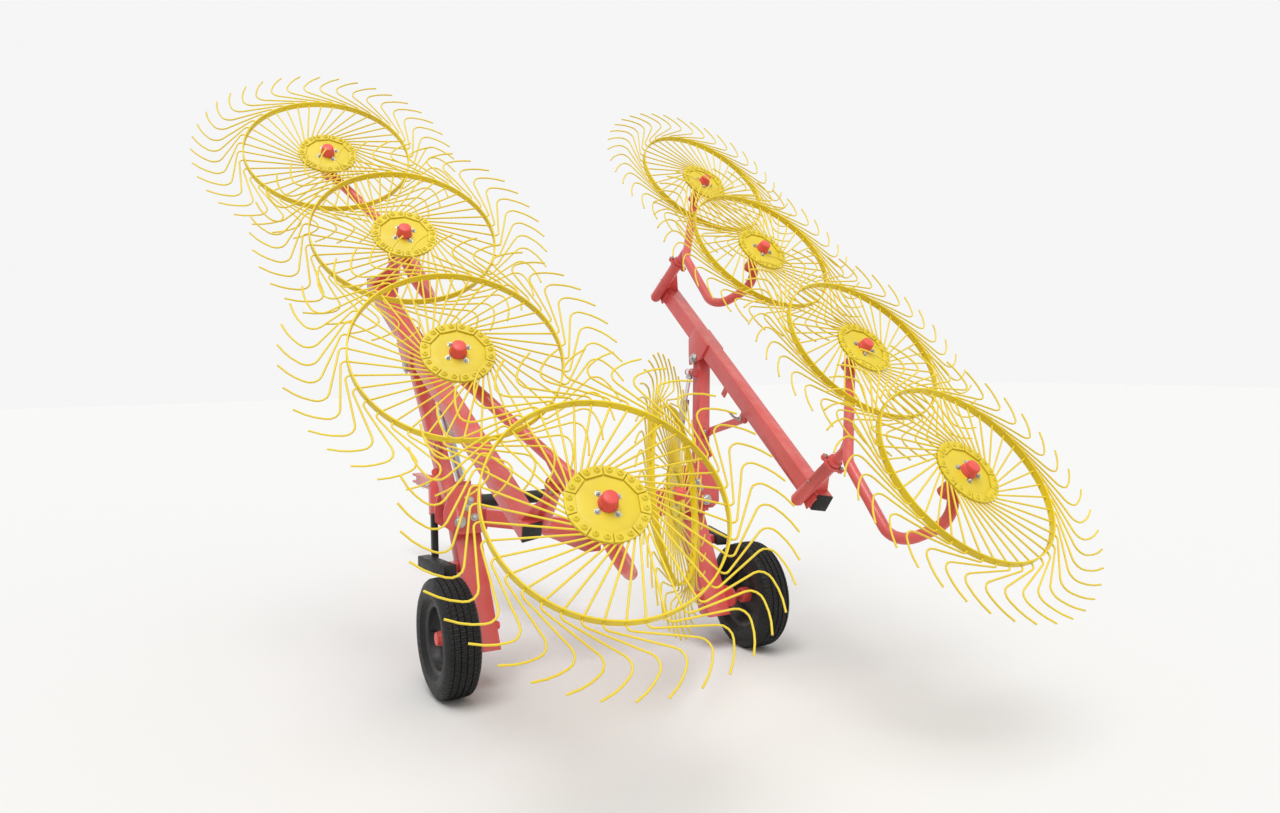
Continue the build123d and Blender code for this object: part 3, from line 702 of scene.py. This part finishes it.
for side, flip in sides.items():
    hub_places = [rocker @ shift(hub) for rocker in rocker_places for hub in (rear_hub, front_hub)]
    for number, place in enumerate(hub_places, 1):
        rake_wheel(f"rake_wheel_{number}_{side}", f"wheel_hub_{number}_{side}", flip @ place @ axle_basis)
rake_wheel("kicker_wheel", "kicker_hub", kicker_frame())

# Road wheels in their own frame: the axle is Z, with the outer face at +Z
tread_columns = 288
groove_count, groove_width, groove_depth = 4, 0.007, 0.007
rib_width = 0.0245
crown_drop = 0.005
sipe_depth, sipe_spacing = 0.0055, 4
rib_band = 0.0085


def build_tyre():
    """Tyre with four grooves round its tread and short sipes across the ribs."""
    half = tyre_width / 2
    shoulder = tyre_radius - crown_drop
    side_wall = [
        (rim_radius - 0.002, -0.062),
        (rim_radius + 0.010, -0.068),
        (rim_radius + 0.030, -half + 0.006),
        (rim_radius + 0.055, -half + 0.001),
        (rim_radius + 0.080, -half + 0.002),
        (tyre_radius - 0.028, -half + 0.009),
        (tyre_radius - 0.012, -half + 0.017),
        (shoulder, -half + 0.027),
    ]
    grooves = []
    z = side_wall[-1][1]
    for k in range(groove_count):
        crown = shoulder + crown_drop * sin(pi * (k + 1) / (groove_count + 1))
        z += rib_width
        grooves += [(crown, z), (crown - groove_depth, z + 0.001)]
        z += groove_width
        grooves += [(crown - groove_depth, z - 0.001), (crown, z)]
    other_wall = [(radius, -height) for radius, height in reversed(side_wall)]
    bm = turned_part(side_wall + grooves + other_wall + side_wall[:1], tread_columns)
    for v in bm.verts:
        reach = (v.co.x**2 + v.co.y**2) ** 0.5
        column = round(atan2(v.co.y, v.co.x) / (2 * pi) * tread_columns)
        rib = round((v.co.z + half) / (groove_width + rib_width))
        if reach > tyre_radius - rib_band and (column + 2 * rib) % sipe_spacing == 0:
            v.co.xy *= (reach - sipe_depth) / reach
    return bm


def build_rim():
    """Pressed steel rim with a dished centre and turned up lips."""
    back_of_dish = [
        (0.042, -0.012),
        (0.075, -0.010),
        (0.098, 0.002),
        (0.120, 0.006),
        (0.140, -0.004),
        (0.150, -0.030),
        (0.158, -0.055),
    ]
    inner_lip = [(0.170, -0.062), (0.1775, -0.0645), (0.1778, -0.0625), (0.1720, -0.058)]
    well = [(0.1640, -0.048), (0.1620, 0.048)]
    outer_lip = [(radius, -height) for radius, height in reversed(inner_lip)]
    front_of_dish = [
        (0.158, 0.055),
        (0.152, 0.020),
        (0.140, 0.004),
        (0.120, 0.014),
        (0.098, 0.010),
        (0.075, -0.002),
        (0.042, -0.004),
    ]
    profile = back_of_dish + inner_lip + well + outer_lip + front_of_dish + back_of_dish[:1]
    return turned_part(profile, segments=64)


def build_road_hub():
    """Bearing housing through the rim, stepped down to its grease cap."""
    housing = [(0.0205, -0.062), (0.040, -0.062), (0.043, -0.058), (0.043, 0.012)]
    cap = [(0.037, 0.016), (0.037, 0.046), (0.034, 0.050), (0.034, 0.058), (0.030, 0.062), (0.0, 0.063)]
    return turned_part(housing + cap, segments=40)


tyre, rim, road_hub = build_tyre(), build_rim(), build_road_hub()
road_nuts = nut_ring(bolt_end(across=0.020, thick=0.012), radius=0.060, height=-0.003, count=5)
valve = turned_part([(0, 0.030), (0.003, 0.029), (0.0045, 0.012), (0.006, 0.0), (0, 0)], segments=10)
valve_spot = shift((0.150, 0, 0.018))
for side, flip in sides.items():
    place = flip @ shift((track_half, axle_y, tyre_radius)) @ outward
    body = f"road_wheel_{side}"
    piece(f"tyre_{side}_tread", tyre, place, body, rubber, "tyre", f"tyre_{side}", sharp=30)
    piece(f"rim_{side}_pressing", rim, place, body, rim_black, "rim_black", f"rim_{side}")
    piece(f"rim_{side}_hub", road_hub, place, body, cap_red, "frame_red")
    piece(f"rim_{side}_nuts", road_nuts, place, body, zinc, "zinc_grey")
    piece(f"rim_{side}_valve", valve, place @ valve_spot, body, black_plastic, "black_plastic")

# Fasteners, pins and cylinder fittings, each in the frame of the piece that carries it
bracket_bolts = [(-0.040, 0.074), (-0.056, 0.109), (-0.077, 0.019)]
axle_boss, post_lug = (0.621, -0.736, 0.300), (0.267, 0.047, -0.048)
strut_boom_spot = arm_place.inverted() @ boom_place @ Vector((*strut_boom_end, 0))
pivots_on_boom = [boom_place.inverted() @ pivot for pivot in pivot_places]
ear_set, ear_angle = flange_ear_pitch / 2, radians(45)
nipple_along = -0.110
seat_depth = 0.0005
clip_below, clip_turn = 0.010, turns(radians(35), 4, "Z")
grip_radius = 0.0068
gland_setback, head_port = 0.034, 0.024
foot_port, foot_weld = 0.062, 0.030
rod_nut_setback = 0.018


def build_hinge_bolts():
    """Nuts of the hinge pin, the cylinder's foot pin and the bracket plates."""
    pin_nut = big_nut(across=0.046, thick=0.0145, stud=0.004)
    foot_nut = big_nut(across=0.034, thick=0.0100)
    bolt = bolt_end(across=0.024, thick=0.012, stud=0.008)
    parts = [
        (pin_nut, shift((0, bracket_rear, 0)) @ to_rear),
        (pin_nut, shift((0, bracket_front, 0)) @ to_front),
        (foot_nut, shift((cylinder_foot[0], cylinder_y + cylinder_foot_side, cylinder_foot[1])) @ to_front),
    ]
    for x, z in bracket_bolts:
        parts.append((bolt, shift((x, bracket_rear, z)) @ to_rear))
        parts.append((bolt, shift((x, bracket_front, z)) @ to_front))
    return joined(*parts)


def build_axle_boss():
    pad, nut = disc(radius=0.030, thick=0.012, facets=32, edge=0.001), hex_nut(across=0.038, thick=0.018)
    return joined((pad, as_is), (nut, shift((0, 0, 0.011))))


def build_boom_bolts():
    """Nuts of the fork bolt, and bolts and a grease nipple at each pivot tube."""
    washer, head = disc(radius=0.0095, thick=0.002, facets=20), hex_nut(across=0.016, thick=0.009)
    flange_bolt = joined((washer, as_is), (head, shift((0, 0, 0.0015))))
    nipple = grease_nipple()
    fork_nut = big_nut(across=0.0495, thick=0.0145, stud=0.008)
    fork_head = big_nut(across=0.0495, thick=0.0135)
    parts = [
        (fork_nut, shift((bolt_along, bolt_inside, clamp_face))),
        (fork_head, shift((bolt_along, bolt_inside, -clamp_face)) @ turned_over),
    ]
    for pivot in pivots_on_boom:
        for sign in (1, -1):
            ear = (sign * ear_set * cos(ear_angle), 0, pivot_above + sign * ear_set * sin(ear_angle))
            at_ear = pivot @ shift(ear)
            parts.append((flange_bolt, at_ear @ shift((0, pivot_outer, 0)) @ to_rear))
            parts.append((flange_bolt, at_ear @ shift((0, pivot_outer + flange_thick, 0)) @ to_front))
        parts.append((nipple, pivot @ shift((0, nipple_along, pivot_above + pivot_tube_radius))))
    return joined(*parts)


def build_boom_welds():
    bead = weld_bead(pivot_tube_radius)
    seam = shift((0, pivot_outer + flange_thick, pivot_above)) @ to_front
    return joined(*[(bead, pivot @ seam) for pivot in pivots_on_boom])


def build_arm_pins():
    """Caps and clips of the lock strut's pins, its grip, and the caps of the cylinder's head pin."""
    pin_cap, clip = disc(radius=0.0138, thick=0.007, facets=24, edge=0.0012), spring_clip(length=0.030)
    cylinder_cap = disc(radius=0.0165, thick=0.0065, facets=24, edge=0.0012)
    parts = []
    for x, y in (strut_post_end, strut_boom_spot.xy):
        parts.append((pin_cap, shift((x, y, strut_head - seat_depth))))
        parts.append((pin_cap, shift((x, y, -strut_head + seat_depth)) @ turned_over))
        parts.append((clip, shift((x, y, -strut_head - clip_below)) @ clip_turn @ to_x))
    grip = [(0, 0, strut_head), (0, 0, 0.050), (0.006, 0, 0.066), (0.022, 0, 0.088), (0.030, 0, 0.098)]
    x, y = strut_boom_spot.xy
    parts.append((bar_along([(x + a, y + b, z) for a, b, z in grip], grip_radius, facets=12), as_is))
    for sign, turn in ((1, to_front), (-1, to_rear)):
        across = cylinder_y + sign * (cylinder_head_side - seat_depth)
        parts.append((cylinder_cap, shift((cylinder_head[0], across, cylinder_head[1])) @ turn))
    return joined(*parts)


def build_barrel_fittings():
    """Gland, foot weld and the two oil ports of a folding cylinder."""
    end = barrel_length - gland_setback
    gland = turned_part(
        [
            (rod_radius + 0.0006, 0),
            (barrel_radius + 0.0028, 0),
            (barrel_radius + 0.0035, 0.001),
            (barrel_radius + 0.0035, 0.026),
            (barrel_radius + 0.0015, 0.028),
            (barrel_radius + 0.0015, 0.036),
            (0.0190, 0.038),
            (0.0165, 0.040),
            (rod_radius + 0.0006, 0.040),
            (rod_radius + 0.0006, 0),
        ],
        segments=36,
    )
    spigot = disc(radius=0.0068, thick=0.026, facets=16, edge=0.001)
    port = joined((hex_nut(across=0.019, thick=0.014), as_is), (spigot, as_is))
    parts = [
        (gland, shift((end, 0, 0)) @ to_x),
        (weld_bead(barrel_radius - 0.004), shift((foot_weld, 0, 0)) @ to_x @ turned_over),
    ]
    for along in (foot_port, end - head_port):
        parts.append((port, shift((along, barrel_radius - 0.003, 0)) @ to_front))
    return joined(*parts)


def build_rod_nut():
    collar = disc(radius=0.0165, thick=0.021, facets=24, edge=0.001)
    return joined((hex_nut(across=0.036, thick=0.016), as_is), (collar, as_is))


hinge_bolts, boss = build_hinge_bolts(), build_axle_boss()
boom_bolts, boom_welds = build_boom_bolts(), build_boom_welds()
arm_pins, lug = build_arm_pins(), disc(radius=0.021, thick=0.012, facets=28, edge=0.001)
barrel_fittings, rod_nut = build_barrel_fittings(), build_rod_nut()
boss_place = shift(axle_boss) @ to_x @ turned_over
lug_place = arm_place @ shift(post_lug) @ to_rear
rod_nut_place = cylinder_place @ shift((cylinder_run.length - eye_radius - rod_nut_setback, 0, 0)) @ to_x
for side, flip in sides.items():
    arm, barrel, rod = f"arm_{side}", f"fold_barrel_{side}", f"fold_rod_{side}"
    piece(f"hinge_bolts_{side}", hinge_bolts, flip @ shift(hinge), "frame", zinc, "zinc_grey")
    piece(f"axle_boss_{side}", boss, flip @ boss_place, "frame", cap_red, "frame_red")
    piece(f"boom_bolts_{side}", boom_bolts, flip @ boom_place, arm, zinc, "zinc_grey")
    piece(f"boom_welds_{side}", boom_welds, flip @ boom_place, arm, red_paint, "frame_red")
    piece(f"arm_pins_{side}", arm_pins, flip @ arm_place, arm, zinc, "zinc_grey")
    piece(f"post_lug_{side}", lug, flip @ lug_place, arm, cap_red, "frame_red")
    piece(f"{barrel}_fittings", barrel_fittings, flip @ cylinder_place, barrel, zinc, "zinc_grey")
    piece(f"{rod}_nut", rod_nut, flip @ rod_nut_place, rod, zinc, "zinc_grey")

kicker_nut = big_nut(across=0.034, thick=0.0135)
kicker_nuts = joined(
    (kicker_nut, shift((kicker_lug_face, 0, 0)) @ to_x),
    (kicker_nut, shift((-kicker_lug_face, 0, 0)) @ to_x @ turned_over),
)
piece("kicker_pivot_nuts", kicker_nuts, shift(kicker_pivot), "frame", zinc, "zinc_grey")


# Caps and strap of the tool tube, and the jack's pull pin
def build_tube_caps():
    cap = turned_part(
        [
            (0, -0.001),
            (tube_radius + 0.002, -0.001),
            (tube_radius + 0.003, 0.0),
            (tube_radius + 0.003, 0.026),
            (tube_radius - 0.001, 0.028),
        ],
        segments=40,
    )
    return joined(
        (cap, shift((-tube_length / 2, 0, 0)) @ to_x),
        (cap, shift((tube_length / 2, 0, 0)) @ to_x @ turned_over),
    )


def build_strap():
    """A thin band round the tool tube."""
    inside, outside = tube_radius - 0.001, tube_radius + 0.0022
    half = 0.0125
    section = [(inside, -half), (outside, -half), (outside, half), (inside, half), (inside, -half)]
    return turned_part(section, segments=48)


def build_jack_pin():
    """Collar, pin and the pull ring of bent wire, heading out along Z."""
    ring = [
        (0, 0, 0.026),
        (0.010, 0, 0.032),
        (0.020, 0, 0.044),
        (0.012, 0, 0.062),
        (-0.012, 0, 0.062),
        (-0.020, 0, 0.044),
        (-0.010, 0, 0.032),
        (0, 0, 0.026),
    ]
    return joined(
        (disc(radius=0.0135, thick=0.006, facets=24, edge=0.001), as_is),
        (disc(radius=0.0085, thick=0.030, facets=20, edge=0.001), as_is),
        (bar_along(ring, radius=0.0024, facets=8), as_is),
    )


pull_pin_height = 0.080
tube_place = shift((0, tube_y, tube_z))
pin_place = shift(jack_place) @ shift((-jack_sleeve / 2 - 0.001, 0, pull_pin_height)) @ to_x @ turned_over
piece("tool_tube_caps", build_tube_caps(), tube_place, "frame", black_plastic, "black_plastic")
piece("tool_tube_strap", build_strap(), tube_place @ to_x, "frame", zinc, "zinc_grey")
piece("jack_pin", build_jack_pin(), pin_place, "frame", zinc, "zinc_grey")

# Solids get their finish, and the square tubes, plates, caps and chocks get rounded corners as well
finishes = {
    "frame_red": red_paint,
    "rim_black": rim_black,
    "black_plastic": black_plastic,
    "chrome": chrome,
    "zinc_grey": silver,
    "wheel_yellow": yellow_paint,
    "tyre": rubber,
}
paired_corners = {"boom": 0.006, "boom_caps": 0.004, "lift_post": 0.005, "leg": 0.005}
corner_radius = {"cross_frame": 0.003, "tongue": 0.005, "jack_leg": 0.003, "stowed_gear": 0.006}
for name, radius in paired_corners.items():
    corner_radius |= {f"{name}_{side}": radius for side in sides}
# Corners flatter than this angle, or shorter than this many radii, aren't rounded
sharp_corner, least_length = radians(50), 4
body_of = {node: body for body, nodes in frame["record"]["behaviour"]["bodies"].items() for node in nodes}


def rolled_edges(node, width):
    """A copy of a node's mesh, merged and with its long outer corners rounded."""
    bm = bmesh.new()
    bm.from_mesh(frame["nodes"][node].data)
    bmesh.ops.remove_doubles(bm, verts=bm.verts, dist=1e-5)
    bmesh.ops.dissolve_limit(bm, angle_limit=radians(1), verts=bm.verts, edges=bm.edges)
    outer = [e for e in bm.edges if e.is_manifold and e.is_convex]
    long_enough = [e for e in outer if e.calc_length() > least_length * width]
    corners = [e for e in long_enough if e.calc_face_angle() > sharp_corner]
    return eased(bm, corners, width, steps=2, clamped=True)


for row in frame["record"]["subparts"]:
    name, slot = row["node"], row["material_slot"]
    if name in corner_radius:
        bm = rolled_edges(name, corner_radius[name])
        piece(f"{name}_rolled", bm, as_is, body_of[name], finishes[slot], slot, name)
    else:
        node = frame["nodes"][name]
        node.data.materials.clear()
        node.data.materials.append(finishes[slot])

# Floor
floor_half = 40.0
bm = bmesh.new()
bmesh.ops.create_grid(bm, x_segments=2, y_segments=2, size=floor_half)
floor_mesh = bpy.data.meshes.new("floor")
bm.to_mesh(floor_mesh)
floor = bpy.data.objects.new("floor", floor_mesh)
scene.collection.objects.link(floor)
floor_material, _, shader = new_material("floor")
shader.inputs["Base Color"].default_value = (0.78, 0.78, 0.77, 1)
shader.inputs["Roughness"].default_value = 0.9
floor_mesh.materials.append(floor_material)

# White surroundings, brighter where the camera or a glossy surface sees them
ambient, backdrop = 0.46, 0.92
world = bpy.data.worlds.new("world")
scene.world = world
world.use_nodes = True
sky = world.node_tree
background = sky.nodes["Background"]
path = sky.nodes.new("ShaderNodeLightPath")
seen = sky.nodes.new("ShaderNodeMath")
seen.operation = "MAXIMUM"
sky.links.new(path.outputs["Is Camera Ray"], seen.inputs[0])
sky.links.new(path.outputs["Is Glossy Ray"], seen.inputs[1])
strength = sky.nodes.new("ShaderNodeMapRange")
strength.inputs["To Min"].default_value = ambient
strength.inputs["To Max"].default_value = backdrop
sky.links.new(seen.outputs["Value"], strength.inputs["Value"])
sky.links.new(strength.outputs["Result"], background.inputs["Strength"])
background.inputs["Color"].default_value = (1, 1, 1, 1)


# Soft high light from behind the camera, and a weak low one from its right
def sun(name, power, azimuth, elevation, size):
    data = bpy.data.lights.new(name, "SUN")
    data.energy = power
    data.angle = radians(size)
    lamp = bpy.data.objects.new(name, data)
    scene.collection.objects.link(lamp)
    a, e = radians(azimuth), radians(elevation)
    toward = Vector((sin(a) * cos(e), cos(a) * cos(e), sin(e)))
    lamp.rotation_mode = "QUATERNION"
    lamp.rotation_quaternion = toward.to_track_quat("Z", "Y")


sun("key_light", power=2.3, azimuth=215, elevation=68, size=40)
sun("fill_light", power=0.35, azimuth=160, elevation=30, size=40)
